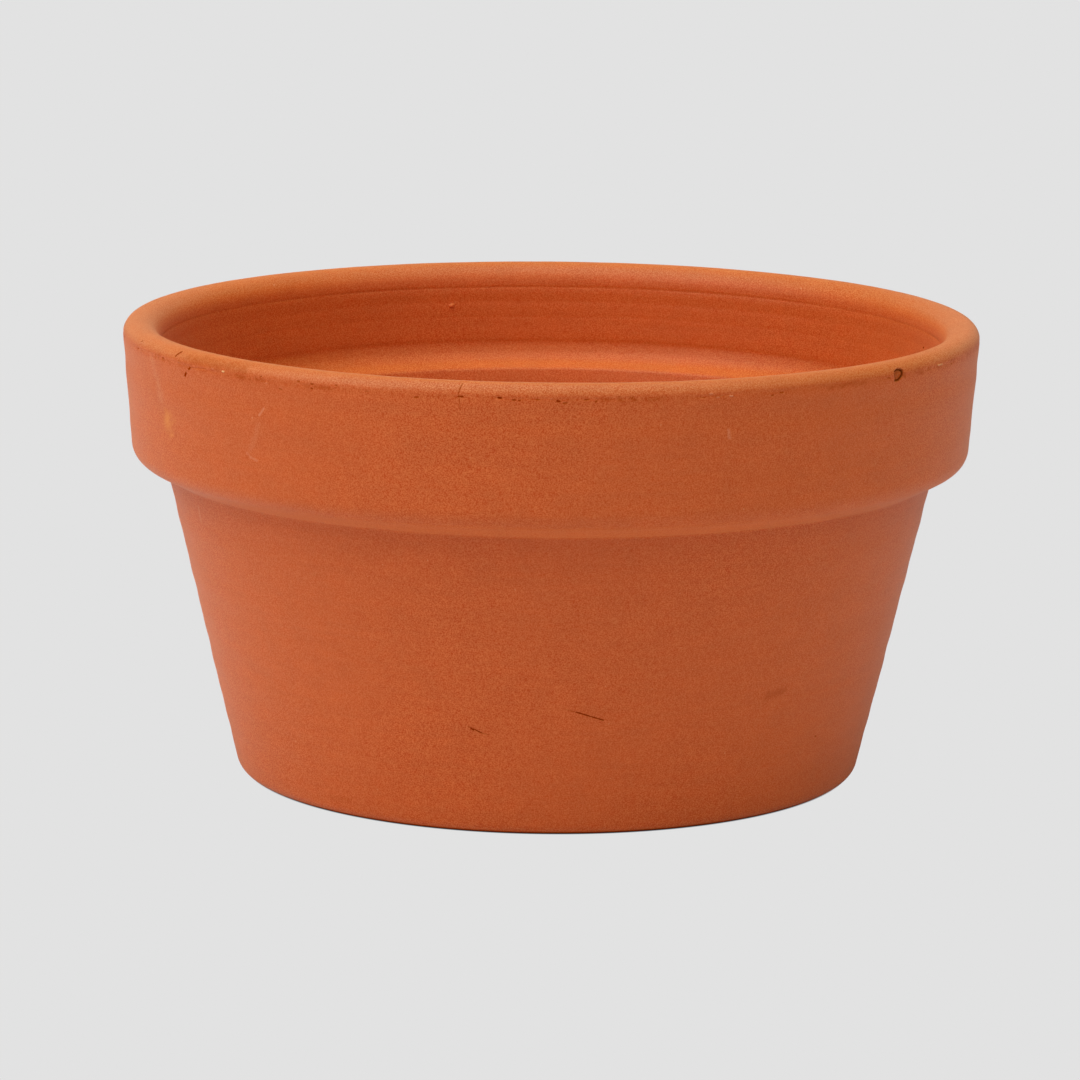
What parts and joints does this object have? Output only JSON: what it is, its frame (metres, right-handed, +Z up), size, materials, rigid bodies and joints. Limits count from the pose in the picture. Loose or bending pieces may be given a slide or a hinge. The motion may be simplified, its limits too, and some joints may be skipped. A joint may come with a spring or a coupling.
{
  "type": "terracotta pot",
  "caption": "Low round flower pot in unglazed terracotta, with tapered wall, deep collar, rounded lip, inner stacking ledge and a drain hole in its floor.",
  "frame": {"origin": "centre of the foot ring, on the plane the pot stands on", "axes": "+Z up along the pot's axis; the pot is round, so X and Y are free"},
  "size_m": [0.2094, 0.2094, 0.1117],
  "materials": {
    "clay": "dry, unglazed, orange-brown fired clay with a fine sandy grain"
  },
  "bodies": {
    "root": {"pot": "clay"}
  },
  "joints": []
}
